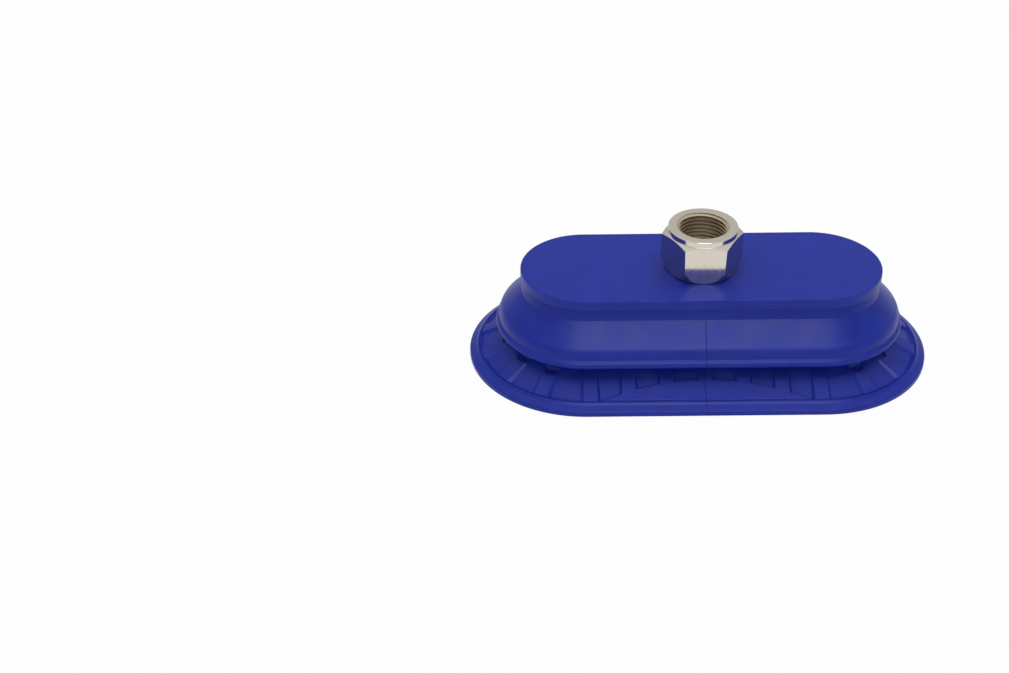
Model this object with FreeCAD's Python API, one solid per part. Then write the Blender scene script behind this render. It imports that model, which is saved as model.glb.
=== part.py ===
"""Oval bellows suction cup: one moulded elastomer body and one turned threaded connector.

Millimetres, +Z up. The origin is the middle of the oval face that the lip lies on, X runs along the oval.
"""
import FreeCAD, Part
import math
import os

# Plan: every section is an oval round the same two end centres, given by its reach from the centre line
straight_half = 37.35
lip_reach = 37.65
fold_reach = 28.7
band_reach = 27.7
neck_reach = 21.8
head_reach = 20.7
shoulder_reach = 20.5
waist_reach = 20.2

# Heights above the face that the lip lies on
head_top = 32.1
head_bottom = 28.6
shoulder_height = 24.8
fold_top = 18.1
bead_top = 14.7
fold_bottom = 11.8
neck_height = 10.0
rim_height = 2.1

# Walls of the bellows and the lip
fold_wall = 2.5
band_wall = 1.9
neck_wall = 3.8
mouth_drop = 1.9
tread_gap = 1.4
tread_depth = 9.6
tread_groove = 0.8

# Edges of the section
head_chamfer = 0.6
head_undercut = 0.4
fold_chamfer = 2.0
bead_chamfer = 0.7
fold_under_chamfer = 1.2

# Sealing lip: contact land below, sunk panels between ribs and pads on top
lip_land = 1.0
rim_width = 3.3
panel_depth = 1.0
panel_inset = 3.6
rib_width = 4.3
rib_end_inset = 1.05
ribs_per_half_side = 3
ribs_per_end = 6
pad_half_length = 32.2
pad_rise = 6.5

# Grip blocks on the lip's underside
block_width = 3.0
block_length = 2.7
block_height = 0.9
block_inset = 0.5
blocks_per_half_side = 5
blocks_per_end = 11

# Tread under the head: columns of chevrons, a middle row of arrows and end pegs
cleat_height = 1.9
cleat_step = 0.7
cleat_margin = 0.4
chevron_width = 5.6
chevron_tip = 1.3
chevrons_per_column = 3
column_inner_end = 5.1
pin_hole_diameter = 7.6
pin_hole_along = 30.5
pin_hole_across = 8.65
pin_hole_depth = 6.0
pin_boss_wall = 0.8
columns_to_pin_hole = 4
arrow_width = 4.4
arrow_pitch = 5.9
arrow_start = 1.8
arrows_per_side = 7
peg_length = 3.4
peg_width = 2.6
peg_step = 20.0
pegs_per_quarter = 3
round_peg_diameter = 3.2
round_peg_reach = 11.3
round_peg_angle = 36.0

# Connector: hexagon and collar on the head, thread bore, tube through the head with a rolled rim
hex_across_flats = 22.7
hex_height = 13.0
hex_top_chamfer = 0.9
hex_base_chamfer = 4.0
hex_base_diameter = 22.6
collar_diameter = 22.1
collar_height = 2.0
thread_minor = 14.95
thread_depth = 12.5
thread_mouth = 16.7
drill_angle = 120.0
tube_diameter = 11.0
tube_bore = 9.2
rolled_rim_diameter = 12.6
rolled_rim_height = 1.2
recess_diameter = 19.0
recess_roof = 3.5

# Extra length of a cutting or joining tool past the face that it works on
overrun = 0.6

# Sizes that follow from the ones above
mouth_reach = neck_reach - neck_wall
tread_reach = mouth_reach - tread_gap
tread_face = head_top - tread_depth
cleat_tip = tread_face - cleat_height
recess_top = head_top - recess_roof
column_pitch = pin_hole_along / columns_to_pin_hole
mid = FreeCAD.Vector(0, 0, 0)
up = FreeCAD.Vector(0, 0, 1)


def slope(first, last):
    """Rise over run between two points of the section."""
    return (last[1] - first[1]) / (last[0] - first[0])


def lip_top(reach):
    """Height of the lip's upper face."""
    return neck_height + slope((neck_reach, neck_height), (lip_reach, rim_height)) * (reach - neck_reach)


def lip_under(reach):
    """Height of the lip's underside, inside the contact land."""
    mouth_height = lip_top(mouth_reach) - mouth_drop
    return slope((lip_reach - lip_land, 0), (mouth_reach, mouth_height)) * (reach - lip_reach + lip_land)


def outline(corners):
    """Closed wire in the section plane."""
    points = [FreeCAD.Vector(0, reach, height) for reach, height in corners]
    return Part.makePolygon(points + points[:1])


def chamfer(before, corner, after, run):
    """Two points that cut a corner of the section back by the same run along both its sides."""
    cut = []
    for side in (before, after):
        share = run / math.hypot(side[0] - corner[0], side[1] - corner[1])
        cut.append((corner[0] + share * (side[0] - corner[0]), corner[1] + share * (side[1] - corner[1])))
    return cut


def carried_round_oval(corners):
    """Solid of a section carried round the oval: two straight runs and two half turns."""
    section = Part.Face(outline(corners))
    right = section.translated(FreeCAD.Vector(straight_half, 0, 0))
    left = section.translated(FreeCAD.Vector(-straight_half, 0, 0))
    run = left.extrude(FreeCAD.Vector(2 * straight_half, 0, 0))
    pieces = [
        run.mirror(mid, FreeCAD.Vector(0, 1, 0)),
        right.revolve(FreeCAD.Vector(straight_half, 0, 0), up, -180),
        left.revolve(FreeCAD.Vector(-straight_half, 0, 0), up, 180),
    ]
    return run.fuse(pieces).removeSplitter()


def prism(points, bottom, top):
    """Upright prism on a plan polygon."""
    ring = [FreeCAD.Vector(x, y, bottom) for x, y in points]
    return Part.Face(Part.makePolygon(ring + ring[:1])).extrude(FreeCAD.Vector(0, 0, top - bottom))


def bar(width, inner, outer, bottom, top):
    """Upright bar across the X axis, from an inner to an outer reach along +Y."""
    half = width / 2
    return prism([(-half, inner), (half, inner), (half, outer), (-half, outer)], bottom, top)


def beside(solid, x):
    """Copies of a solid at one place along both straight sides."""
    near = solid.translated(FreeCAD.Vector(x, 0, 0))
    return [near, near.mirror(mid, FreeCAD.Vector(0, 1, 0))]


def round_end(solid, angle):
    """Copies of a solid turned round both end centres, the angle counted from the oval's tip."""
    turned = solid.rotated(mid, up, angle - 90).translated(FreeCAD.Vector(straight_half, 0, 0))
    return [turned, turned.mirror(mid, FreeCAD.Vector(1, 0, 0))]


def spread(count):
    """Evenly spaced angles over a half turn, both ends included."""
    return [180 * index / (count - 1) - 90 for index in range(count)]


def cup_section():
    """Half section of the elastomer from the centre line outwards, with head, bellows, lip and tread."""
    crown = (0, head_top)
    head_edge = (head_reach, head_top)
    plate_edge = (head_reach, head_bottom)
    waist = (waist_reach, head_bottom - head_undercut)
    shoulder = (shoulder_reach, shoulder_height)
    fold_corner = (band_reach, fold_top)
    bead_root = (band_reach, bead_top)
    bead_edge = (fold_reach, bead_top - bead_chamfer)
    fold_edge = (fold_reach, fold_bottom)
    neck = (neck_reach, neck_height)
    inner_fold = band_reach - band_wall
    flank = slope(shoulder, fold_corner)
    flank_drop = fold_wall * math.hypot(1, flank)
    under = slope(neck, fold_edge)
    under_lift = fold_wall * math.hypot(1, under)
    roof_reach = tread_reach + tread_groove
    roof = shoulder_height + flank * (roof_reach - shoulder_reach) - flank_drop
    return [
        crown,
        *chamfer(crown, head_edge, plate_edge, head_chamfer),
        plate_edge,
        waist,
        shoulder,
        *chamfer(shoulder, fold_corner, bead_root, fold_chamfer),
        bead_root,
        bead_edge,
        *chamfer(bead_edge, fold_edge, neck, fold_under_chamfer),
        neck,
        (lip_reach, rim_height),
        (lip_reach, 0),
        (lip_reach - lip_land, 0),
        (mouth_reach, lip_under(mouth_reach)),
        (mouth_reach, neck_height + under * (mouth_reach - neck_reach) + under_lift),
        (inner_fold, neck_height + under * (inner_fold - neck_reach) + under_lift),
        (inner_fold, shoulder_height + flank * (inner_fold - shoulder_reach) - flank_drop),
        (roof_reach, roof),
        (tread_reach, roof),
        (tread_reach, tread_face),
        (0, tread_face),
    ]


def lip_panels():
    """Sunk panels on the lip's upper face, between the ribs and clear of the middle pads."""
    inner = neck_reach + panel_inset
    outer = lip_reach - rim_width
    panels = carried_round_oval([
        (inner, lip_top(inner) - panel_depth),
        (outer, lip_top(outer) - panel_depth),
        (outer, lip_top(outer) + overrun),
        (inner, lip_top(inner) + overrun),
    ])
    rib = bar(rib_width, 0, lip_reach + overrun, 0, head_top)
    ribs = []
    rib_pitch = (straight_half - rib_end_inset) / ribs_per_half_side
    for step in range(-ribs_per_half_side, ribs_per_half_side + 1):
        ribs += beside(rib, step * rib_pitch)
    for angle in spread(ribs_per_end + 2)[1:-1]:
        ribs += round_end(rib, angle)
    pad_radius = (pad_half_length ** 2 + pad_rise ** 2) / (2 * pad_rise)
    pad_centre = FreeCAD.Vector(0, outer - pad_rise + pad_radius, 0)
    pad = Part.makeCylinder(pad_radius, head_top, pad_centre)
    return panels.cut(ribs + beside(pad, 0))


def lip_blocks():
    """Grip blocks round the mouth, each with its face along the slope of the lip's underside."""
    inner = mouth_reach + block_inset
    outer = inner + block_length
    side = [
        FreeCAD.Vector(-block_width / 2, inner, lip_under(inner) - block_height),
        FreeCAD.Vector(-block_width / 2, outer, lip_under(outer) - block_height),
        FreeCAD.Vector(-block_width / 2, outer, lip_under(outer) + overrun),
        FreeCAD.Vector(-block_width / 2, inner, lip_under(inner) + overrun),
    ]
    block = Part.Face(Part.makePolygon(side + side[:1])).extrude(FreeCAD.Vector(block_width, 0, 0))
    side_step = straight_half / (2 * blocks_per_half_side + 1)
    blocks = []
    for step in range(1 - 2 * blocks_per_half_side, 2 * blocks_per_half_side, 2):
        blocks += beside(block, step * side_step)
    for angle in spread(blocks_per_end):
        blocks += round_end(block, angle)
    return blocks


def chevrons(count, pitch, width):
    """Row of chevrons that point along +Y from the origin, each face dipping to the tail of the next."""
    section = [FreeCAD.Vector(0, 0, tread_face + overrun)]
    for index in range(count):
        section.append(FreeCAD.Vector(0, index * pitch, cleat_tip + cleat_step))
        section.append(FreeCAD.Vector(0, (index + 1) * pitch, cleat_tip))
    section.append(FreeCAD.Vector(0, count * pitch, tread_face + overrun))
    face = Part.Face(Part.makePolygon(section + section[:1]))
    arms = [face.extrude(FreeCAD.Vector(side * width / 2, -chevron_tip, 0)) for side in (-1, 1)]
    return arms[0].fuse(arms[1]).removeSplitter()


def tread_columns():
    """Columns of chevrons across the tread, shortened at the recess and left out at the pin holes."""
    pitch = (tread_reach - column_inner_end) / chevrons_per_column
    columns = []
    for step in range(-columns_to_pin_hole - 1, columns_to_pin_hole + 2):
        if abs(step) == columns_to_pin_hole:
            continue
        inner_side = max(abs(step) * column_pitch - chevron_width / 2, 0)
        clear = math.sqrt(max((recess_diameter / 2) ** 2 - inner_side ** 2, 0))
        missing = max(math.ceil((clear - column_inner_end) / pitch), 0)
        tail = column_inner_end + chevron_tip + missing * pitch
        column = chevrons(chevrons_per_column - missing, pitch, chevron_width)
        columns += beside(column.translated(FreeCAD.Vector(0, tail, 0)), step * column_pitch)
    return columns


def tread_middle():
    """Rows of arrows along the centre line, each row pointing away from the recess."""
    row = chevrons(arrows_per_side, arrow_pitch, arrow_width).rotated(mid, up, -90)
    right = row.translated(FreeCAD.Vector(recess_diameter / 2 + arrow_start, 0, 0))
    return [right, right.mirror(mid, FreeCAD.Vector(1, 0, 0))]


def tread_ends():
    """Square pegs fanned round each end of the tread, with a round peg on each side of the middle row."""
    inner = tread_reach - cleat_margin - peg_length
    square = bar(peg_width, inner, tread_reach, cleat_tip, tread_face + overrun)
    post = Part.makeCylinder(
        round_peg_diameter / 2,
        cleat_height + overrun,
        FreeCAD.Vector(0, round_peg_reach, cleat_tip),
    )
    pegs = []
    for step in range(-pegs_per_quarter, pegs_per_quarter + 1):
        pegs += round_end(square, step * peg_step)
    for angle in (-round_peg_angle, round_peg_angle):
        pegs += round_end(post, angle)
    return pegs


def four_ways(solid):
    """A solid at each of the four pin holes."""
    copies = []
    for x in (-pin_hole_along, pin_hole_along):
        for y in (-pin_hole_across, pin_hole_across):
            copies.append(solid.translated(FreeCAD.Vector(x, y, 0)))
    return copies


def cup_body():
    """The moulded body, with its panels, grip, tread, pin holes and the recess for the connector."""
    body = carried_round_oval(cup_section())
    body = body.cut(lip_panels())
    boss_radius = pin_hole_diameter / 2 + pin_boss_wall
    rise = cleat_height + overrun
    boss = Part.makeCylinder(boss_radius, rise, FreeCAD.Vector(0, 0, cleat_tip))
    bridge = bar(chevron_width, pin_hole_across, tread_reach, cleat_tip, cleat_tip + rise)
    relief = tread_columns() + tread_middle() + tread_ends() + four_ways(boss)
    relief += beside(bridge, -pin_hole_along) + beside(bridge, pin_hole_along)
    edge = tread_reach - cleat_margin
    root = tread_face + overrun
    allowed = carried_round_oval([(0, cleat_tip), (edge, cleat_tip), (edge, root), (0, root)])
    trimmed = [solid.common(allowed) for solid in relief]
    body = body.fuse(trimmed + lip_blocks())
    pin_hole = Part.makeCylinder(
        pin_hole_diameter / 2,
        cleat_height + pin_hole_depth,
        FreeCAD.Vector(0, 0, cleat_tip),
    )
    recess = Part.makeCylinder(recess_diameter / 2, recess_top - cleat_tip, FreeCAD.Vector(0, 0, cleat_tip))
    passage = Part.makeCylinder(tube_diameter / 2, head_top - recess_top, FreeCAD.Vector(0, 0, recess_top))
    return body.cut(four_ways(pin_hole) + [recess, passage]).removeSplitter()


def connector():
    """The turned connector: hexagon bar outside, stepped bore, tube end rolled over under the head."""
    hex_top = head_top + hex_height
    top = hex_top + collar_height
    corner = hex_across_flats / math.sqrt(3)
    bore_floor = top - thread_depth
    mouth_depth = (thread_mouth - thread_minor) / 2
    cone = (thread_minor - tube_bore) / 2 / math.tan(math.radians(drill_angle / 2))
    rim_bottom = recess_top - rolled_rim_height
    section = [
        (tube_bore / 2, rim_bottom),
        (rolled_rim_diameter / 2, rim_bottom),
        (rolled_rim_diameter / 2, recess_top),
        (tube_diameter / 2, recess_top),
        (tube_diameter / 2, head_top),
        (hex_base_diameter / 2, head_top),
        (corner, head_top + hex_base_chamfer),
        (corner, hex_top - hex_top_chamfer),
        (collar_diameter / 2, hex_top),
        (collar_diameter / 2, top),
        (thread_mouth / 2, top),
        (thread_minor / 2, top - mouth_depth),
        (thread_minor / 2, bore_floor),
        (tube_bore / 2, bore_floor - cone),
    ]
    turned = Part.Face(outline(section)).revolve(mid, up, 360)
    corners = []
    for step in range(6):
        angle = math.radians(60 * step)
        corners.append((corner * math.cos(angle), corner * math.sin(angle)))
    bar_stock = prism(corners, rim_bottom - overrun, top + overrun)
    return turned.common(bar_stock)


def main():
    """Build both pieces and write each to its own file."""
    os.makedirs("parts", exist_ok=True)
    for name, shape in (("cup_body", cup_body()), ("connector", connector())):
        print(name, shape.isValid(), len(shape.Solids), round(shape.Volume, 1), shape.BoundBox)
        shape.exportStep("parts/" + name + ".step")


main()
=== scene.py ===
"""Looks of an oval bellows suction cup: a moulded elastomer body and a plated hexagon connector.

Metres, +Z up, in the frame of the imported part: the lip lies on z = 0 and X runs along the oval.
"""
import logging
import math
from contextlib import contextmanager
from dataclasses import dataclass, field
from enum import Enum
from typing import Any, Callable, Iterable, Iterator, Sequence

import bmesh
import bpy
from mathutils import Matrix, Vector


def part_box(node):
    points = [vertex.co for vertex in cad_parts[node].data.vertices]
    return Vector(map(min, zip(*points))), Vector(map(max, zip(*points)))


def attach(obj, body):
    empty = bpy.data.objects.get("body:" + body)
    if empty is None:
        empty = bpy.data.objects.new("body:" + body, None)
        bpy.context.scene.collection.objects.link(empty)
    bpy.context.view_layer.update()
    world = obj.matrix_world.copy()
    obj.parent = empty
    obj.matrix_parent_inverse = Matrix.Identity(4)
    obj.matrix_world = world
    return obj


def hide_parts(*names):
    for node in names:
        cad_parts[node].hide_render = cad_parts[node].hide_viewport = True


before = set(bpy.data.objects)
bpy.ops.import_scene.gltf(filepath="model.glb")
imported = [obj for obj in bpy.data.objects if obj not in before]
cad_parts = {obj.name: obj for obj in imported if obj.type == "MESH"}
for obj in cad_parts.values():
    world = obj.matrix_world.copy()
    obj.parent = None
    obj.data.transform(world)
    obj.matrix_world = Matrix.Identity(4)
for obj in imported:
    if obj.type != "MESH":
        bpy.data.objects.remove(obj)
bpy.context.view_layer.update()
BODY = "root"
# Points closer than this are one point
TINY = 1e-6
# Points closer than this after two pieces are combined are one point
CRUMB = 4e-6
# Width of the plate that a traced line starts from
PLATE = 1e-3
# Extra length of a tool past the face that it works on
OVERRUN = 6e-4

log = logging.getLogger("suction_cup")
Colour = tuple[float, float, float, float]
WHITE: Colour = (1.0, 1.0, 1.0, 1.0)


class Fit(Enum):
    """Ways to combine two workpieces."""

    JOIN = "UNION"
    CUT = "DIFFERENCE"
    KEEP = "INTERSECT"


class Workpiece:
    """A mesh on the bench, shaped by edit-mode operators and applied modifiers."""

    def __init__(self, name: str) -> None:
        """Take up the active object, with its place moved into its mesh.

        Args:
            name: Name for the object and its mesh.
        """
        self.piece: bpy.types.Object = bpy.context.object
        self.piece.name = name
        self.piece.data.name = name
        bpy.ops.object.transform_apply(location=True, rotation=True, scale=True)

    @classmethod
    def line(cls, name: str, points: Sequence[Vector]) -> "Workpiece":
        """Trace a line of edges from a plate that is merged to the first point.

        Args:
            name: Name of the workpiece.
            points: Places along the line, in order.

        Returns:
            A workpiece with one edge between each two points.
        """
        bpy.ops.object.select_all(action="DESELECT")
        bpy.ops.mesh.primitive_plane_add(size=PLATE, location=points[0])
        work = cls(name)
        with work.editing():
            bpy.ops.mesh.merge(type="CENTER")
            for here, there in zip(points, points[1:]):
                bpy.ops.mesh.extrude_vertices_move(TRANSFORM_OT_translate={"value": there - here})
        return work

    @classmethod
    def prism(cls, name: str, outline: Sequence[Vector], moves: Sequence[Vector]) -> "Workpiece":
        """Push the face of an outline along one or more moves.

        Args:
            name: Name of the workpiece.
            outline: Corners of the face, in order.
            moves: Pushes, one after another.

        Returns:
            A closed workpiece.
        """
        work = cls.line(name, outline)
        with work.editing():
            bpy.ops.mesh.edge_face_add()
            for move in moves:
                bpy.ops.mesh.extrude_region_move(TRANSFORM_OT_translate={"value": move})
        work.close()
        return work

    @classmethod
    def loft(cls, name: str, lower: Sequence[Vector], upper: Sequence[Vector]) -> "Workpiece":
        """Bridge two closed outlines.

        Args:
            name: Name of the workpiece.
            lower: Corners of one outline, in order.
            upper: As many corners of the other.

        Returns:
            A closed workpiece.
        """
        loops = []
        for outline in (lower, upper):
            loop = cls.line(name, [*outline, outline[0]])
            loop.weld()
            loops.append(loop.piece)
        work = cls.gathered(name, loops)
        with work.editing("EDGE"):
            bpy.ops.mesh.bridge_edge_loops()
        work.close()
        return work

    @classmethod
    def block(cls, name: str, low: Vector, high: Vector) -> "Workpiece":
        """Add a block between two corners."""
        bpy.ops.object.select_all(action="DESELECT")
        bpy.ops.mesh.primitive_cube_add(size=1, location=(low + high) / 2, scale=high - low)
        return cls(name)

    @classmethod
    def rod(
        cls, name: str, radius: float, foot: Vector, height: float, sides: int = 48, flare: float = 0.0
    ) -> "Workpiece":
        """Add an upright rod.

        Args:
            name: Name of the workpiece.
            radius: Radius to the corners.
            foot: Middle of the lower face.
            height: Length upwards.
            sides: Number of side faces, with a corner on the +Y side.
            flare: How much wider the lower face is.

        Returns:
            A closed workpiece.
        """
        bpy.ops.object.select_all(action="DESELECT")
        sizes = {"radius1": radius + flare, "radius2": radius, "depth": height}
        middle = foot + Vector((0, 0, height / 2))
        bpy.ops.mesh.primitive_cone_add(vertices=sides, location=middle, **sizes)
        return cls(name)

    def take(self) -> None:
        """Make this the only selected object, and the active one."""
        bpy.ops.object.select_all(action="DESELECT")
        self.piece.select_set(True)
        bpy.context.view_layer.objects.active = self.piece

    def scrap(self) -> None:
        """Remove the object and its mesh."""
        mesh = self.piece.data
        bpy.data.objects.remove(self.piece)
        bpy.data.meshes.remove(mesh)

    @contextmanager
    def editing(self, kind: str = "VERT") -> Iterator[None]:
        """Hold this mesh in edit mode with everything selected.

        Args:
            kind: Kind of element that is selected, VERT, EDGE or FACE.
        """
        self.take()
        bpy.ops.object.mode_set(mode="EDIT")
        bpy.ops.mesh.select_mode(type=kind)
        bpy.ops.mesh.select_all(action="SELECT")
        yield
        bpy.ops.object.mode_set(mode="OBJECT")

    def pick(self, test: Callable[[Vector], bool]) -> None:
        """Select, in edit mode, the points whose place passes a test."""
        bpy.ops.mesh.select_all(action="DESELECT")
        shape = bmesh.from_edit_mesh(self.piece.data)
        for vert in shape.verts:
            vert.select = test(vert.co)
        shape.select_flush(True)
        bmesh.update_edit_mesh(self.piece.data)

    def weld(self, distance: float = TINY) -> None:
        """Merge points that lie within a distance of each other."""
        with self.editing():
            bpy.ops.mesh.remove_doubles(threshold=distance)

    def close(self) -> None:
        """Merge doubles, fill open loops and turn every face outwards."""
        with self.editing():
            bpy.ops.mesh.remove_doubles(threshold=TINY)
            bpy.ops.mesh.fill_holes(sides=0)
            bpy.ops.mesh.select_all(action="SELECT")
            bpy.ops.mesh.normals_make_consistent(inside=False)

    def spin_round(self, steps: int) -> None:
        """Turn the traced line once round the Z axis and close it.

        Args:
            steps: Faces round the turn.
        """
        with self.editing("EDGE"):
            bpy.ops.mesh.spin(steps=steps, angle=2 * math.pi, center=(0, 0, 0), axis=(0, 0, -1))
        self.close()

    def carry_round(self, plan: "OvalPlan") -> None:
        """Carry a section, traced at the start of the front side, once round an oval and close it.

        Args:
            plan: The oval and how finely it is divided.
        """
        stops = plan.stops()
        with self.editing("EDGE"):
            for way in (1, -1):
                for here, there in zip(stops, stops[1:]):
                    move = (way * (there - here), 0, 0)
                    bpy.ops.mesh.extrude_edges_move(TRANSFORM_OT_translate={"value": move})
                centre = (way * plan.straight_half, 0, 0)
                bpy.ops.mesh.spin(steps=plan.end_steps, angle=math.pi, center=centre, axis=(0, 0, -1))
        self.close()

    def modify(self, kind: str, settings: dict[str, Any]) -> None:
        """Add a modifier, set it and apply it.

        Args:
            kind: Blender's name for the kind of modifier.
            settings: Values of its properties.
        """
        self.take()
        bpy.ops.object.modifier_add(type=kind)
        step = self.piece.modifiers[-1]
        for name, value in settings.items():
            setattr(step, name, value)
        bpy.ops.object.modifier_apply(modifier=step.name)

    def combine(self, tool: "Workpiece", fit: Fit, used_up: bool = True) -> None:
        """Combine this piece with a tool.

        Args:
            tool: The other workpiece.
            fit: How the two are combined.
            used_up: Whether the tool is scrapped afterwards.
        """
        self.modify("BOOLEAN", {"operation": fit.value, "solver": "EXACT", "object": tool.piece})
        self.weld(CRUMB)
        if used_up:
            tool.scrap()

    def soften(self, width: float, segments: int = 2, angle: float = math.radians(30)) -> None:
        """Round every edge that is sharper than an angle.

        Args:
            width: Width of the rounding.
            segments: Faces across it.
            angle: Least angle between the faces at an edge.
        """
        settings = {"width": width, "segments": segments, "limit_method": "ANGLE", "angle_limit": angle}
        self.modify("BEVEL", settings)

    def patterned(self, places: Iterable[Matrix]) -> "Workpiece":
        """Copy this piece to each place and scrap the pattern.

        Args:
            places: Where each copy goes.

        Returns:
            One workpiece with all the copies.
        """
        name = self.piece.name
        copies = []
        for place in places:
            copy = self.piece.copy()
            copy.data = self.piece.data.copy()
            copy.data.transform(place)
            bpy.context.collection.objects.link(copy)
            copies.append(copy)
        self.scrap()
        return Workpiece.joined(name, copies)

    @classmethod
    def gathered(cls, name: str, pieces: Sequence[bpy.types.Object]) -> "Workpiece":
        """Lay several objects, which are used up, together in one mesh."""
        bpy.ops.object.select_all(action="DESELECT")
        for piece in pieces:
            piece.select_set(True)
        bpy.context.view_layer.objects.active = pieces[0]
        bpy.ops.object.join()
        return cls(name)

    @classmethod
    def joined(cls, name: str, pieces: Sequence[bpy.types.Object]) -> "Workpiece":
        """Lay several closed objects together in one mesh.

        Args:
            name: Name of the new workpiece.
            pieces: Objects, which are used up.

        Returns:
            One workpiece with every face turned outwards.
        """
        work = cls.gathered(name, pieces)
        work.close()
        return work

    def shade(self, angle: float) -> None:
        """Shade smoothly across edges under an angle, led by the larger faces.

        Args:
            angle: Least angle between faces at an edge that stays crisp.
        """
        self.take()
        bpy.ops.object.shade_smooth_by_angle(angle=angle)
        self.modify("WEIGHTED_NORMAL", {"weight": 50, "keep_sharp": True})


@dataclass(frozen=True)
class Corner:
    """A corner of a section or of a plan, with the radius that rounds it."""

    x: float
    y: float
    radius: float = 0.0

    def point(self) -> Vector:
        """Place of the sharp corner in its plane."""
        return Vector((self.x, self.y))


def rounded(corners: Sequence[Corner], turn: float = math.radians(10)) -> list[Vector]:
    """Follow a line of corners, with an arc at each one that has a radius.

    Args:
        corners: Corners of the line, in order.
        turn: Largest angle between two steps of an arc.

    Returns:
        Points in the plane of the corners.
    """
    points = [corners[0].point()]
    for before, corner, after in zip(corners, corners[1:], corners[2:]):
        here = corner.point()
        if corner.radius == 0:
            points.append(here)
            continue
        back = (before.point() - here).normalized()
        ahead = (after.point() - here).normalized()
        half = back.angle(ahead) / 2
        centre = here + (back + ahead).normalized() * corner.radius / math.sin(half)
        spoke = here + back * corner.radius / math.tan(half) - centre
        sweep = math.pi - 2 * half
        way = math.copysign(1, -back.cross(ahead))
        count = max(math.ceil(sweep / turn), 1)
        for index in range(count + 1):
            points.append(centre + Matrix.Rotation(way * sweep * index / count, 2) @ spoke)
    points.append(corners[-1].point())
    return points


@dataclass(frozen=True)
class OvalPlan:
    """Plan that every section of the cup is carried round: two half circles and two straight sides."""

    straight_half: float
    seam_half: float = 0.00018
    side_steps: int = 6
    end_steps: int = 56

    def stops(self) -> list[float]:
        """Places along a straight side where the section is repeated, closest at the mould's parting seam."""
        run = [self.straight_half * step / self.side_steps for step in range(1, self.side_steps + 1)]
        right = [0.0, self.seam_half, *run]
        return [-stop for stop in reversed(right[1:])] + right

    def start(self, point: Vector) -> Vector:
        """Place of a section point at the start of the front side."""
        return Vector((-self.straight_half, -point.x, point.y))

    def beside(self, along: Iterable[float]) -> list[Matrix]:
        """Places along both straight sides for a pattern made on the +Y side."""
        flips = [Matrix.Diagonal((1, side, 1, 1)) for side in (1, -1)]
        return [Matrix.Translation((x, 0, 0)) @ flip for x in along for flip in flips]

    def round_ends(self, angles: Iterable[float]) -> list[Matrix]:
        """Places round both ends for a pattern made on the +Y side, the angle counted from the oval's tip."""
        centre = Matrix.Translation((self.straight_half, 0, 0))
        flips = [Matrix.Diagonal((side, 1, 1, 1)) for side in (1, -1)]
        return [flip @ centre @ Matrix.Rotation(a - math.pi / 2, 4, "Z") for a in angles for flip in flips]


def spread(count: int) -> list[float]:
    """Evenly spaced angles over a half turn, both ends included."""
    return [math.pi * index / (count - 1) - math.pi / 2 for index in range(count)]


def between(values: Sequence[float]) -> list[float]:
    """Middles of the gaps between values."""
    return [(first + last) / 2 for first, last in zip(values, values[1:])]


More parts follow.
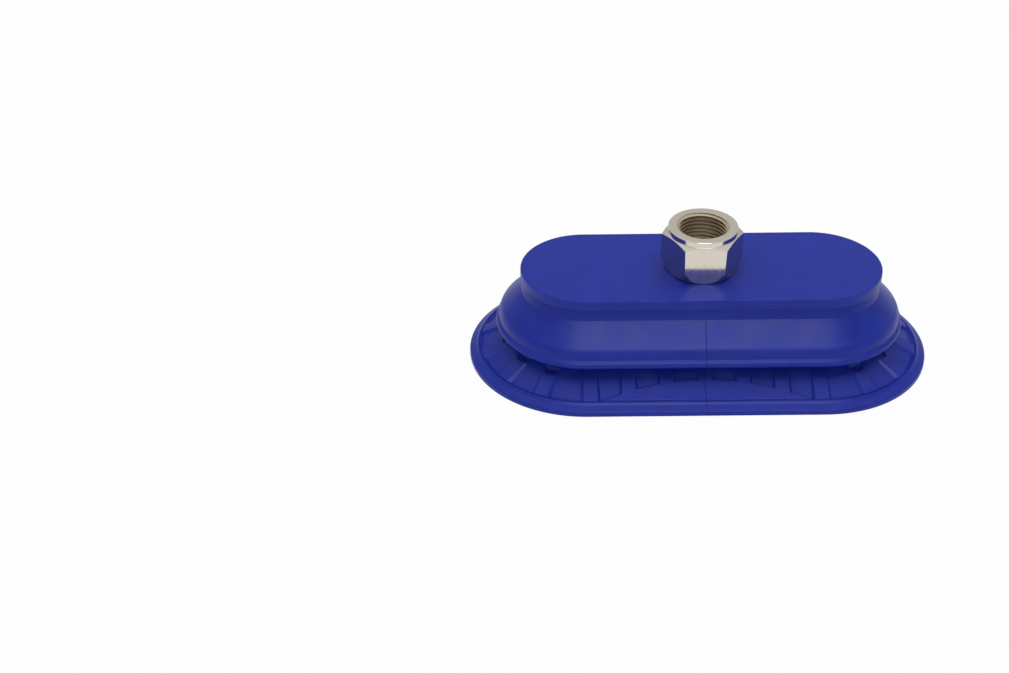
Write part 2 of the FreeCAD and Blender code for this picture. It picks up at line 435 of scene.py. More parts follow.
@dataclass
class CupSection:
    """Half section of the cup: reach from the oval's centre line, height above the face of the lip."""

    lip_reach: float
    head_top: float
    fold_reach: float = 0.0287
    band_reach: float = 0.0277
    neck_reach: float = 0.0218
    head_reach: float = 0.0207
    shoulder_reach: float = 0.0205
    waist_reach: float = 0.0194
    head_bottom: float = 0.0286
    head_undercut: float = 0.0002
    shoulder_height: float = 0.0248
    fold_top: float = 0.0171
    bead_top: float = 0.0145
    bead_slope: float = 0.0009
    fold_bottom: float = 0.0118
    neck_height: float = 0.0100
    rim_height: float = 0.0021
    fold_wall: float = 0.0025
    band_wall: float = 0.0019
    neck_wall: float = 0.0038
    mouth_drop: float = 0.0019
    tread_gap: float = 0.0014
    tread_depth: float = 0.0096
    tread_groove: float = 0.0008
    lip_land: float = 0.0010
    cap_inset: float = 0.0014
    rim_width: float = 0.0033
    rim_drop: float = 0.0004
    rim_groove: float = 0.00035
    rim_groove_depth: float = 0.00055
    ridge_inset: float = 0.0029
    ridge_rise: float = 0.00018
    ridge_foot: float = 0.0021
    ridge_foot_drop: float = 0.00025
    seal_lines: int = 2
    seal_inset: float = 0.0041
    seal_gap: float = 0.0009
    seal_half_width: float = 0.000225
    seal_depth: float = 0.00032
    head_edge: float = 0.00025
    plate_edge: float = 0.00020
    waist_edge: float = 0.00015
    shoulder_edge: float = 0.0007
    fold_edge: float = 0.0050
    band_edge: float = 0.0003
    bead_edge: float = 0.0009
    fold_under_edge: float = 0.0011
    neck_edge: float = 0.0008
    shore_edge: float = 0.0004
    rim_groove_edge: float = 0.00012
    ridge_edge: float = 0.0003
    ridge_foot_edge: float = 0.0006
    rim_edge: float = 0.0007
    contact_edge: float = 0.00025
    land_edge: float = 0.0003
    seal_edge: float = 0.00006
    mouth_edge: float = 0.0005
    throat_edge: float = 0.0006
    hollow_edge: float = 0.0009
    tread_edge: float = 0.0003

    @property
    def mouth_reach(self) -> float:
        """Reach of the mouth inside the neck."""
        return self.neck_reach - self.neck_wall

    @property
    def tread_reach(self) -> float:
        """Reach of the tread block under the head."""
        return self.mouth_reach - self.tread_gap

    @property
    def tread_face(self) -> float:
        """Height of the tread's ground."""
        return self.head_top - self.tread_depth

    def lip_top(self, reach: float) -> float:
        """Height of the lip's upper face."""
        slope = (self.rim_height - self.neck_height) / (self.lip_reach - self.neck_reach)
        return self.neck_height + slope * (reach - self.neck_reach)

    def lip_under(self, reach: float) -> float:
        """Height of the lip's underside, inside the contact land."""
        land = self.lip_reach - self.lip_land
        mouth_height = self.lip_top(self.mouth_reach) - self.mouth_drop
        return mouth_height * (land - reach) / (land - self.mouth_reach)

    def outer(self) -> list[Corner]:
        """Corners of the outside, from the head over the fold and the lip to the contact land."""
        groove = self.lip_reach - self.rim_width
        shore = groove - self.rim_groove
        ridge = self.lip_reach - self.ridge_inset
        foot = self.lip_reach - self.ridge_foot
        return [
            Corner(self.head_reach - self.cap_inset, self.head_top),
            Corner(self.head_reach, self.head_top, self.head_edge),
            Corner(self.head_reach, self.head_bottom, self.plate_edge),
            Corner(self.waist_reach, self.head_bottom - self.head_undercut, self.waist_edge),
            Corner(self.shoulder_reach, self.shoulder_height, self.shoulder_edge),
            Corner(self.band_reach, self.fold_top, self.fold_edge),
            Corner(self.band_reach, self.bead_top, self.band_edge),
            Corner(self.fold_reach, self.bead_top - self.bead_slope, self.bead_edge),
            Corner(self.fold_reach, self.fold_bottom, self.fold_under_edge),
            Corner(self.neck_reach, self.neck_height, self.neck_edge),
            Corner(shore, self.lip_top(shore), self.shore_edge),
            Corner(groove, self.lip_top(groove) - self.rim_groove_depth, self.rim_groove_edge),
            Corner(ridge, self.lip_top(ridge) + self.ridge_rise, self.ridge_edge),
            Corner(foot, self.lip_top(foot) - self.ridge_foot_drop, self.ridge_foot_edge),
            Corner(self.lip_reach, self.rim_height - self.rim_drop, self.rim_edge),
            Corner(self.lip_reach, 0, self.contact_edge),
        ]

    def seal_corners(self) -> list[Corner]:
        """Corners of the fine grooves under the lip."""
        corners = []
        for line in range(self.seal_lines):
            middle = self.lip_reach - self.seal_inset - line * self.seal_gap
            for step, depth in ((1, 0), (0, self.seal_depth), (-1, 0)):
                reach = middle + step * self.seal_half_width
                corners.append(Corner(reach, self.lip_under(reach) + depth, self.seal_edge))
        return corners

    def inner(self) -> list[Corner]:
        """Corners of the inside, from the contact land up through the fold to the tread's ground."""
        flank = (self.fold_top - self.shoulder_height) / (self.band_reach - self.shoulder_reach)
        drop = self.fold_wall * math.hypot(1, flank)
        under = (self.fold_bottom - self.neck_height) / (self.fold_reach - self.neck_reach)
        lift = self.fold_wall * math.hypot(1, under)
        hollow = self.band_reach - self.band_wall
        roof_reach = self.tread_reach + self.tread_groove
        roof = self.shoulder_height + flank * (roof_reach - self.shoulder_reach) - drop
        mouth = self.mouth_reach
        throat = self.neck_height + under * (mouth - self.neck_reach) + lift
        hollow_bottom = self.neck_height + under * (hollow - self.neck_reach) + lift
        hollow_top = self.shoulder_height + flank * (hollow - self.shoulder_reach) - drop
        return [
            Corner(self.lip_reach - self.lip_land, 0, self.land_edge),
            *self.seal_corners(),
            Corner(mouth, self.lip_under(mouth), self.mouth_edge),
            Corner(mouth, throat, self.throat_edge),
            Corner(hollow, hollow_bottom, self.hollow_edge),
            Corner(hollow, hollow_top, self.hollow_edge),
            Corner(roof_reach, roof, self.tread_edge),
            Corner(self.tread_reach, roof, self.tread_edge),
            Corner(self.tread_reach, self.tread_face, self.tread_edge),
            Corner(self.tread_reach - self.cap_inset, self.tread_face),
        ]

    def skin(self) -> list[Vector]:
        """Points of the whole skin, from the head's cap round to the tread's ground."""
        return rounded(self.outer() + self.inner())


class Value:
    """A number that a shader node gives, with Python's arithmetic."""

    def __init__(self, graph: "Graph", socket: bpy.types.NodeSocket) -> None:
        """Wrap an output socket of a graph's node."""
        self.graph = graph
        self.socket = socket

    def math(self, operation: str, *numbers: Any) -> "Value":
        """Give the result of a Math node on some numbers."""
        sockets = dict(enumerate(numbers))
        made = self.graph.node("Math", {"operation": operation}, sockets)
        return Value(self.graph, made.outputs[0])

    def __add__(self, other: Any) -> "Value":
        """Sum."""
        return self.math("ADD", self, other)

    def __radd__(self, other: Any) -> "Value":
        """Sum, with the number first."""
        return self.math("ADD", other, self)

    def __sub__(self, other: Any) -> "Value":
        """Difference."""
        return self.math("SUBTRACT", self, other)

    def __rsub__(self, other: Any) -> "Value":
        """Difference, with the number first."""
        return self.math("SUBTRACT", other, self)

    def __mul__(self, other: Any) -> "Value":
        """Product."""
        return self.math("MULTIPLY", self, other)

    def __rmul__(self, other: Any) -> "Value":
        """Product, with the number first."""
        return self.math("MULTIPLY", other, self)

    def __pow__(self, other: Any) -> "Value":
        """Power."""
        return self.math("POWER", self, other)

    def either(self, other: Any) -> "Value":
        """The larger of two numbers."""
        return self.math("MAXIMUM", self, other)

    def ramp(self, low: float, high: float, start: float = 0.0, end: float = 1.0) -> "Value":
        """Ease from a start to an end value as this number goes from low to high.

        Args:
            low: Number at the start.
            high: Number at the end.
            start: Value up to low.
            end: Value from high on.

        Returns:
            The eased value.
        """
        sockets = {"Value": self, "From Min": low, "From Max": high, "To Min": start, "To Max": end}
        made = self.graph.node("MapRange", {"interpolation_type": "SMOOTHSTEP"}, sockets)
        return Value(self.graph, made.outputs["Result"])


class Graph:
    """The nodes of one material or of the world."""

    def __init__(self, tree: bpy.types.NodeTree) -> None:
        """Empty a node tree and take it over."""
        self.tree = tree
        tree.nodes.clear()

    def node(self, kind: str, settings: dict[str, Any], sockets: dict[Any, Any]) -> bpy.types.Node:
        """Add a node.

        Args:
            kind: Type of the node, without Blender's prefix.
            settings: Properties, which are set first.
            sockets: Numbers, colours or links for its inputs, by name or place.

        Returns:
            The new node.
        """
        made = self.tree.nodes.new("ShaderNode" + kind)
        for name, value in settings.items():
            setattr(made, name, value)
        for name, value in sockets.items():
            if isinstance(value, Value):
                value = value.socket
            if isinstance(value, bpy.types.NodeSocket):
                self.tree.links.new(value, made.inputs[name])
            else:
                made.inputs[name].default_value = value
        return made

    def place(self) -> bpy.types.NodeSocket:
        """Object coordinates of the shaded point."""
        return self.node("TexCoord", {}, {}).outputs["Object"]

    def axes(self) -> tuple[Value, Value, Value]:
        """The three object coordinates as numbers."""
        made = self.node("SeparateXYZ", {}, {0: self.place()})
        return tuple(Value(self, output) for output in made.outputs)

    def noise(self, at: Any, scale: float, detail: float = 2.0, roughness: float = 0.5) -> Value:
        """Noise between 0 and 1.

        Args:
            at: Vector at which it is read.
            scale: Lumps per metre.
            detail: Octaves beyond the first.
            roughness: Share of each finer octave.

        Returns:
            The noise.
        """
        sockets = {"Vector": at, "Scale": scale, "Detail": detail, "Roughness": roughness}
        return Value(self, self.node("TexNoise", {}, sockets).outputs[0])

    def vector(self, x: Any, y: Any, z: Any) -> bpy.types.NodeSocket:
        """Vector from three numbers."""
        return self.node("CombineXYZ", {}, {0: x, 1: y, 2: z}).outputs[0]

    def blend(self, share: Value, first: Any, last: Any) -> bpy.types.NodeSocket:
        """Colour between two others."""
        made = self.node("Mix", {"data_type": "RGBA"}, {0: share, 6: first, 7: last})
        return made.outputs[2]

    def bump(self, height: Value, depth: float) -> bpy.types.NodeSocket:
        """Normal of a fine relief, its depth in metres."""
        return self.node("Bump", {}, {"Height": height, "Distance": depth, "Strength": 1.0}).outputs[0]

    def seen(self) -> Value:
        """One for what the camera sees, straight or mirrored, and nothing for what only lights."""
        path = self.node("LightPath", {}, {})
        kinds = ("Is Camera Ray", "Is Glossy Ray", "Is Transmission Ray")
        camera, glossy, through = [Value(self, path.outputs[kind]) for kind in kinds]
        return camera.either(glossy).either(through)


def new_material(name: str) -> tuple[bpy.types.Material, Graph]:
    """Start a node material.

    Args:
        name: Name of the material.

    Returns:
        The material and its emptied graph.
    """
    material = bpy.data.materials.new(name)
    material.use_nodes = True
    return material, Graph(material.node_tree)


@dataclass(frozen=True)
class MouldedElastomer:
    """Dyed-through blue elastomer with the dull, faintly clouded skin that a mould leaves, and painted shade
    along the parting seam.
    """

    deep: Colour = (0.0082, 0.0205, 0.278, 1.0)
    pale: Colour = (0.0110, 0.0270, 0.314, 1.0)
    # Colour of the painted shade along the parting seam, and how much of it is blended in
    painted_seam_shade: Colour = (0.004, 0.008, 0.060, 1.0)
    seam_half: float = 0.00026
    seam_shade_share: float = 0.40
    seam_top: float = 0.0248
    seam_reach: float = 0.0202
    sheen_low: float = 0.36
    sheen_high: float = 0.44
    gloss: float = 0.22
    sheen_span: tuple[float, float] = (0.35, 0.65)
    cloud_share: float = 0.7
    cloud: float = 140.0
    cloud_detail: float = 3.0
    cloud_span: tuple[float, float] = (0.3, 0.7)
    grain: float = 9000.0
    grain_share: float = 0.3
    grain_depth: float = 0.000012

    def material(self) -> bpy.types.Material:
        """Make the material."""
        made, graph = new_material("blue_elastomer")
        at = graph.place()
        cloud = graph.noise(at, self.cloud, self.cloud_detail)
        fine = graph.noise(at, self.grain)
        skin = graph.blend(cloud.ramp(*self.cloud_span), self.deep, self.pale)
        wear = self.cloud_share * cloud + self.grain_share * fine
        x, y, z = graph.axes()
        # Painted shade: the base colour darkens towards the seam shade colour over a thin line at x = 0, from
        # the shoulder down to the rim
        seam = (x * x).ramp(0.0, self.seam_half ** 2, self.seam_shade_share, 0.0)
        seam = seam * z.ramp(self.seam_top, self.seam_top - self.seam_half)
        seam = seam * (y * y).ramp((self.seam_reach - self.seam_half) ** 2, self.seam_reach ** 2)
        shader = graph.node("BsdfPrincipled", {}, {
            "Base Color": graph.blend(seam, skin, self.painted_seam_shade),
            "Roughness": wear.ramp(*self.sheen_span, self.sheen_low, self.sheen_high),
            "Specular IOR Level": self.gloss,
            "Normal": graph.bump(fine, self.grain_depth),
        })
        graph.node("OutputMaterial", {}, {"Surface": shader.outputs[0]})
        return made


@dataclass(frozen=True)
class NickelPlate:
    """Bright nickel on turned brass: drawn lines on the flats, turning lines above them, a warmer bore."""

    plate: Colour = (0.66, 0.61, 0.535, 1.0)
    warm: Colour = (0.56, 0.49, 0.37, 1.0)
    flat_top: float = 0.0427
    flat_fade: float = 0.0006
    bore_radius: float = 0.0086
    bore_fade: float = 0.0004
    bore_floor: float = 0.033
    floor_fade: float = 0.001
    bore_dulling: float = 0.20
    sheen_low: float = 0.10
    sheen_high: float = 0.17
    lines: float = 2600.0
    line_detail: float = 2.0
    line_roughness: float = 0.6
    line_span: tuple[float, float] = (0.3, 0.7)
    line_stretch: float = 0.03
    line_depth: float = 0.0000012

    def material(self) -> bpy.types.Material:
        """Make the material."""
        made, graph = new_material("nickel_plate")
        x, y, z = graph.axes()
        radius = (x * x + y * y) ** 0.5
        texture = (self.lines, self.line_detail, self.line_roughness)
        drawn = graph.noise(graph.vector(x, y, z * self.line_stretch), *texture)
        turned = graph.noise(graph.vector(radius, z, 0.0), *texture)
        above = z.ramp(self.flat_top, self.flat_top + self.flat_fade)
        inside = radius.ramp(self.bore_radius, self.bore_radius - self.bore_fade)
        lines = drawn * (1 - above) + turned * above
        bore = inside * z.ramp(self.bore_floor - self.floor_fade, self.bore_floor)
        sheen = lines.ramp(*self.line_span, self.sheen_low, self.sheen_high)
        shader = graph.node("BsdfPrincipled", {}, {
            "Base Color": graph.blend(bore, self.plate, self.warm),
            "Roughness": sheen + bore * self.bore_dulling,
            "Metallic": 1.0,
            "Normal": graph.bump(lines * (1 - bore), self.line_depth),
        })
        graph.node("OutputMaterial", {}, {"Surface": shader.outputs[0]})
        return made


@dataclass
class CupBody:
    """The moulded elastomer: head, bellows fold, ribbed lip with its grip, and the cleated tread."""

    section: CupSection
    plan: OvalPlan
    connector: "Connector"
    panel_depth: float = 0.0010
    panel_inner_depth: float = 0.0005
    panel_inset: float = 0.0031
    panel_draft: float = 0.0010
    panel_over: float = 0.0005
    panel_arch: float = 0.0018
    panel_weld: float = 0.00002
    rib_width: float = 0.0043
    rib_end_inset: float = 0.00105
    ribs_per_half_side: int = 3
    ribs_per_end: int = 6
    pocket_inner: float = 0.0246
    pocket_outer: float = 0.0272
    pocket_width: float = 0.0054
    pocket_tip: float = 0.0026
    pocket_depth: float = 0.0007
    pocket_edge: float = 0.00050
    pad_half_length: float = 0.0322
    pad_rise: float = 0.0065
    pad_sides: int = 360
    block_width: float = 0.0030
    block_length: float = 0.0027
    block_height: float = 0.0009
    block_inset: float = 0.0005
    blocks_per_half_side: int = 5
    blocks_per_end: int = 11
    vane_width: float = 0.0009
    vane_edge: float = 0.00015
    vane_height: float = 0.0005
    vane_taper: float = 3.0
    vane_start: float = 0.0215
    vane_end: float = 0.0295
    long_vane_end: float = 0.0328
    vanes_to_long: int = 4
    cleat_height: float = 0.0019
    cleat_step: float = 0.0007
    cleat_margin: float = 0.0004
    cleat_edge: float = 0.00018
    chevron_width: float = 0.0056
    chevron_tip: float = 0.0013
    chevrons_per_column: int = 3
    column_inner_end: float = 0.0051
    pin_hole_radius: float = 0.0038
    pin_hole_along: float = 0.0305
    pin_hole_across: float = 0.00865
    pin_hole_depth: float = 0.0060
    pin_boss_wall: float = 0.0008
    columns_to_pin_hole: int = 4
    arrow_width: float = 0.0044
    arrow_pitch: float = 0.0059
    arrow_start: float = 0.0018
    arrows_per_side: int = 7
    peg_length: float = 0.0034
    peg_width: float = 0.0026
    peg_step: float = math.radians(20)
    pegs_per_quarter: int = 3
    round_peg_radius: float = 0.0016
    round_peg_reach: float = 0.0113
    round_peg_angle: float = math.radians(36)
    round_peg_sides: int = 24
    recess_radius: float = 0.0095
    bore_sides: int = 72
    seam_depth: float = 0.00012
    seam_end: float = 0.0010
    crisp: float = math.radians(38)
    finish: MouldedElastomer = field(default_factory=MouldedElastomer)

    @property
    def cleat_tip(self) -> float:
        """Height of the lowest points of the tread."""
        return self.section.tread_face - self.cleat_height

    @property
    def cleat_root(self) -> float:
        """Height inside the head that the tread's relief is rooted at."""
        return self.section.tread_face + OVERRUN

    def skin(self) -> Workpiece:
        """Carry the section round the oval."""
        skin = Workpiece.line("cup_body_moulded", [self.plan.start(point) for point in self.section.skin()])
        skin.carry_round(self.plan)
        return skin

    def press_seam(self, body: Workpiece) -> None:
        """Press in the line of the mould's parting seam, on both sides, from the shoulder down to the rim.

        Args:
            body: The body, with all its cuts made.
        """
        part = self.section
        edge = part.lip_reach - self.seam_end

        def spot(reach: float, height: float) -> tuple[float, float]:
            """Place in the section, to a hundredth of a millimetre."""
            return round(reach, 5), round(height, 5)

        outside = {spot(point.x, point.y) for point in rounded(part.outer())}

        def on_seam(at: Vector) -> bool:
            """Tell whether a point of the mesh lies on the seam."""
            reach = abs(at.y)
            near = abs(at.x) < TINY and reach < edge and at.z < part.shoulder_height
            return near and spot(reach, at.z) in outside

        with body.editing():
            body.pick(on_seam)
            bpy.ops.transform.shrink_fatten(value=-self.seam_depth)

    def ring(self, name: str, corners: Sequence[tuple[float, float]]) -> Workpiece:
        """Carry a closed section round the oval.

        Args:
            name: Name of the workpiece.
            corners: Reach and height of each corner, in order.

        Returns:
            A closed workpiece.
        """
        points = [self.plan.start(Vector(corner)) for corner in (*corners, corners[0])]
        ring = Workpiece.line(name, points)
        ring.weld()
        ring.carry_round(self.plan)
        return ring

    def rib_places(self) -> list[Matrix]:
        """Places of the ribs on the lip, along both sides and round both ends."""
        pitch = (self.plan.straight_half - self.rib_end_inset) / self.ribs_per_half_side
        steps = range(-self.ribs_per_half_side, self.ribs_per_half_side + 1)
        return self.plan.beside([step * pitch for step in steps]) + self.end_rib_places()

    def end_rib_places(self) -> list[Matrix]:
        """Places of the ribs round both ends."""
        return self.plan.round_ends(spread(self.ribs_per_end + 2)[1:-1])

    def on_lip(self) -> Matrix:
        """Lay a pattern, made flat on z = 0 on the +Y side, on the slope of the lip."""
        level = self.section.lip_top(0.0)
        slope = self.section.lip_top(1.0) - level
        return Matrix(((1, 0, 0, 0), (0, 1, 0, 0), (0, slope, 1, level), (0, 0, 0, 1)))

    def lean(self, height: float) -> float:
        """How far a panel's wall stands in from its upper edge at a height over the lip."""
        return -height * self.panel_draft / self.panel_depth

    def rib_outline(self, height: float) -> list[Vector]:
        """Outline of a rib, made flat on the +Y side, with a foot that arches out to its neighbours.

        Args:
            height: Height of the outline over the lip.

        Returns:
            Corners of the outline, in order.
        """
        part = self.section
        lean = self.lean(height)
        half = self.rib_width / 2 + lean
        inner = part.neck_reach + self.panel_inset + lean
        arch = self.panel_arch - lean
        foot = self.rib_width / 2 + self.panel_arch + TINY
        side = rounded([Corner(half, part.lip_reach), Corner(half, inner, arch), Corner(foot, inner)])
        side.append(Vector((foot, part.neck_reach)))
        plan = side + [Vector((-point.x, point.y)) for point in reversed(side)]
        return [Vector((point.x, point.y, height)) for point in plan]

    def panels(self) -> Workpiece:
        """Cutters for the sunk panels on the lip, between the ribs and clear of the middle pads."""
        part = self.section
        inner = part.neck_reach + self.panel_inset
        outer = part.lip_reach - part.rim_width
        low = -self.panel_depth
        high = self.panel_over
        shallow = -self.panel_inner_depth
        corners = [(inner, shallow, 1), (outer, low, -1), (outer, high, -1), (inner, high, 1)]
        edges = [(reach + way * self.lean(height), height) for reach, height, way in corners]
        panels = self.ring("panels", [(reach, part.lip_top(reach) + height) for reach, height in edges])
        low -= OVERRUN
        high += OVERRUN
        radius = (self.pad_half_length ** 2 + self.pad_rise ** 2) / (2 * self.pad_rise)
        foot = Vector((0, outer - self.pad_rise + radius, low))
        flare = self.lean(low) - self.lean(high)
        pad = Workpiece.rod("pad", radius + self.lean(high), foot, high - low, self.pad_sides, flare)
        panels.combine(pad.patterned([place @ self.on_lip() for place in self.plan.beside([0.0])]), Fit.CUT)
        rib = Workpiece.loft("rib", self.rib_outline(low), self.rib_outline(high))
        panels.combine(rib.patterned([place @ self.on_lip() for place in self.rib_places()]), Fit.CUT)
        panels.weld(self.panel_weld)
        return panels

    def pockets(self) -> Workpiece:
        """Cutters for the pocket at the foot of each rib round the ends, where the rib forks."""
        part = self.section
        ends = ((self.pocket_width, self.pocket_inner), (self.pocket_tip, self.pocket_outer))
        plan = []
        for width, reach in ends:
            plan.append(Vector((width / 2, reach, part.lip_top(reach) - self.pocket_depth)))
        plan += [Vector((-point.x, point.y, point.z)) for point in reversed(plan)]
        pocket = Workpiece.prism("pockets", plan, [Vector((0, 0, self.pocket_depth + OVERRUN))])
        pocket.soften(self.pocket_edge)
        return pocket.patterned(self.end_rib_places())

    def under_lip(self, name: str, width: float, profile: Sequence[tuple[float, float]]) -> Workpiece:
        """A bar under the lip, at x = 0 on the +Y side.

        Args:
            name: Name of the workpiece.
            width: Width along the oval.
            profile: Reach and drop below the lip's underside, from the mouth outwards.

        Returns:
            A closed workpiece.
        """
        part = self.section
        faces = [(reach, part.lip_under(reach) - drop) for reach, drop in profile]
        roots = [(reach, part.lip_under(reach) + OVERRUN) for reach, _ in reversed(profile)]
        outline = [Vector((-width / 2, reach, height)) for reach, height in faces + roots]
        return Workpiece.prism(name, outline, [Vector((width, 0, 0))])

    def grip(self) -> list[Workpiece]:
        """Grip blocks round the mouth and the thin vanes between them."""
        inner = self.section.mouth_reach + self.block_inset
        outer = inner + self.block_length
        face = [(reach, self.block_height) for reach in (inner, outer)]
        block = self.under_lip("block", self.block_width, face)
        block.soften(self.cleat_edge)
        step = self.plan.straight_half / (2 * self.blocks_per_half_side + 1)
        count = 2 * self.blocks_per_half_side
        sides = [index * step for index in range(1 - count, count, 2)]
        ends = spread(self.blocks_per_end)
        blocks = block.patterned(self.plan.beside(sides) + self.plan.round_ends(ends))
        gaps = [index * step for index in range(-count, count + 1, 2)]
        places = self.plan.beside(gaps) + self.plan.round_ends(between(ends))
        pair_step = 2 * self.vanes_to_long
        short = [place for index, place in enumerate(places) if index // 2 % self.vanes_to_long]
        long = places[::pair_step] + places[1::pair_step]
        vanes = []
        for name, end, chosen in (("vane", self.vane_end, short), ("long_vane", self.long_vane_end, long)):
            profile = [(self.vane_start, self.vane_height), (end, self.vane_height / self.vane_taper)]
            vane = self.under_lip(name, self.vane_width, profile)
            vane.soften(self.vane_edge)
            vanes.append(vane.patterned(chosen))
        return [blocks, *vanes]

    def chevrons(self, name: str, count: int, pitch: float, width: float) -> Workpiece:
        """Row of chevrons that point along +Y from the origin, each face dipping to the tail of the next.

        Args:
            name: Name of the workpiece.
            count: Chevrons in the row.
            pitch: Length of each.
            width: Width across the row.

        Returns:
            A closed workpiece with rounded edges.
        """
        arm = Vector((width / 2, self.chevron_tip, 0))
        outline = [Vector((0, 0, self.cleat_root))]
        for index in range(count):
            outline.append(Vector((0, index * pitch, self.cleat_tip + self.cleat_step)))
            outline.append(Vector((0, (index + 1) * pitch, self.cleat_tip)))
        outline.append(Vector((0, count * pitch, self.cleat_root)))
        back = Vector((arm.x, -arm.y, 0))
        row = Workpiece.prism(name, [point - arm for point in outline], [arm, back])
        row.soften(self.cleat_edge)
        return row

    def columns(self) -> list[Workpiece]:
        """Columns of chevrons across the tread, shortened at the recess and left out at the pin holes."""
        pitch = (self.section.tread_reach - self.column_inner_end) / self.chevrons_per_column
        column_pitch = self.pin_hole_along / self.columns_to_pin_hole
        columns = []
        for step in range(-self.columns_to_pin_hole - 1, self.columns_to_pin_hole + 2):
            if abs(step) == self.columns_to_pin_hole:
                continue
            inner_side = max(abs(step) * column_pitch - self.chevron_width / 2, 0)
            clear = math.sqrt(max(self.recess_radius ** 2 - inner_side ** 2, 0))
            missing = max(math.ceil((clear - self.column_inner_end) / pitch), 0)
            tail = self.column_inner_end + self.chevron_tip + missing * pitch
            column = self.chevrons("column", self.chevrons_per_column - missing, pitch, self.chevron_width)
            shift = Matrix.Translation((0, tail, 0))
            places = [place @ shift for place in self.plan.beside([step * column_pitch])]
            columns.append(column.patterned(places))
        return columns

    def middle_rows(self) -> Workpiece:
        """Rows of arrows along the centre line, each pointing away from the recess."""
        row = self.chevrons("arrows", self.arrows_per_side, self.arrow_pitch, self.arrow_width)
        start = Matrix.Translation((self.recess_radius + self.arrow_start, 0, 0))
        right = start @ Matrix.Rotation(-math.pi / 2, 4, "Z")
        return row.patterned([right, Matrix.Diagonal((-1, 1, 1, 1)) @ right])

    def pegs(self) -> list[Workpiece]:
        """Square pegs fanned round each end of the tread, and a round peg on each side of the middle row."""
        outer = self.section.tread_reach
        half = self.peg_width / 2
        low = Vector((-half, outer - self.cleat_margin - self.peg_length, self.cleat_tip))
        square = Workpiece.block("peg", low, Vector((half, outer, self.cleat_root)))
        square.soften(self.cleat_edge)
        fan = range(-self.pegs_per_quarter, self.pegs_per_quarter + 1)
        squares = square.patterned(self.plan.round_ends([step * self.peg_step for step in fan]))
        foot = Vector((0, self.round_peg_reach, self.cleat_tip))
        rise = self.cleat_root - self.cleat_tip
        post = Workpiece.rod("post", self.round_peg_radius, foot, rise, self.round_peg_sides)
        post.soften(self.cleat_edge)
        posts = post.patterned(self.plan.round_ends([-self.round_peg_angle, self.round_peg_angle]))
        return [squares, posts]

    def pin_places(self) -> list[Matrix]:
        """The four places of the pin holes."""
        across = (-self.pin_hole_across, self.pin_hole_across)
        along = (-self.pin_hole_along, self.pin_hole_along)
        return [Matrix.Translation((x, y, 0)) for x in along for y in across]

    def bosses(self) -> Workpiece:
        """Bosses round the pin holes, each bridged to the edge of the tread."""
        foot = Vector((0, self.pin_hole_across, self.cleat_tip))
        rise = self.cleat_root - self.cleat_tip
        boss = Workpiece.rod("boss", self.pin_hole_radius + self.pin_boss_wall, foot, rise)
        half = self.chevron_width / 2
        low = Vector((-half, self.pin_hole_across, self.cleat_tip))
        bridge = Workpiece.block("bridge", low, Vector((half, self.section.tread_reach, self.cleat_root)))
        boss.combine(bridge, Fit.JOIN)
        boss.soften(self.cleat_edge)
        return boss.patterned(self.plan.beside([-self.pin_hole_along, self.pin_hole_along]))

    def tread(self) -> list[Workpiece]:
        """All the relief of the tread, each kind trimmed to the tread's edge."""
        edge = self.section.tread_reach - self.cleat_margin
        heights = (self.cleat_tip - OVERRUN, self.cleat_root + OVERRUN)
        wall = [self.plan.start(Vector((edge, height))) for height in heights]
        allowed = Workpiece.line("tread_bounds", wall)
        allowed.carry_round(self.plan)
        relief = [*self.columns(), self.middle_rows(), *self.pegs(), self.bosses()]
        for work in relief:
            work.combine(allowed, Fit.KEEP, used_up=False)
        allowed.scrap()
        return relief

    def bores(self) -> list[Workpiece]:
        """Cutters for the pin holes, the recess of the rolled rim and the passage of the tube."""
        foot = Vector((0, 0, self.cleat_tip - OVERRUN))
        depth = self.cleat_height + self.pin_hole_depth + OVERRUN
        pins = Workpiece.rod("pin_holes", self.pin_hole_radius, foot, depth).patterned(self.pin_places())
        tube = self.connector
        rise = tube.recess_top - foot.z
        recess = Workpiece.rod("recess", self.recess_radius, foot, rise, self.bore_sides)
        roof = Vector((0, 0, tube.recess_top - OVERRUN))
        length = tube.recess_roof + 2 * OVERRUN
        passage = Workpiece.rod("passage", tube.tube_radius, roof, length, self.bore_sides)
        return [pins, recess, passage]

    def build(self) -> bpy.types.Object:
        """Model and dress the body.

        Returns:
            The finished object, which stands for the CAD body.
        """
        body = self.skin()
        body.combine(self.panels(), Fit.CUT)
        body.combine(self.pockets(), Fit.CUT)
        for work in self.tread() + self.grip():
            body.combine(work, Fit.JOIN)
        for cutter in self.bores():
            body.combine(cutter, Fit.CUT)
        self.press_seam(body)
        body.shade(self.crisp)
        piece = body.piece
        piece.data.materials.clear()
        piece.data.materials.append(self.finish.material())
        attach(piece, BODY)
        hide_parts("cup_body")
        return piece


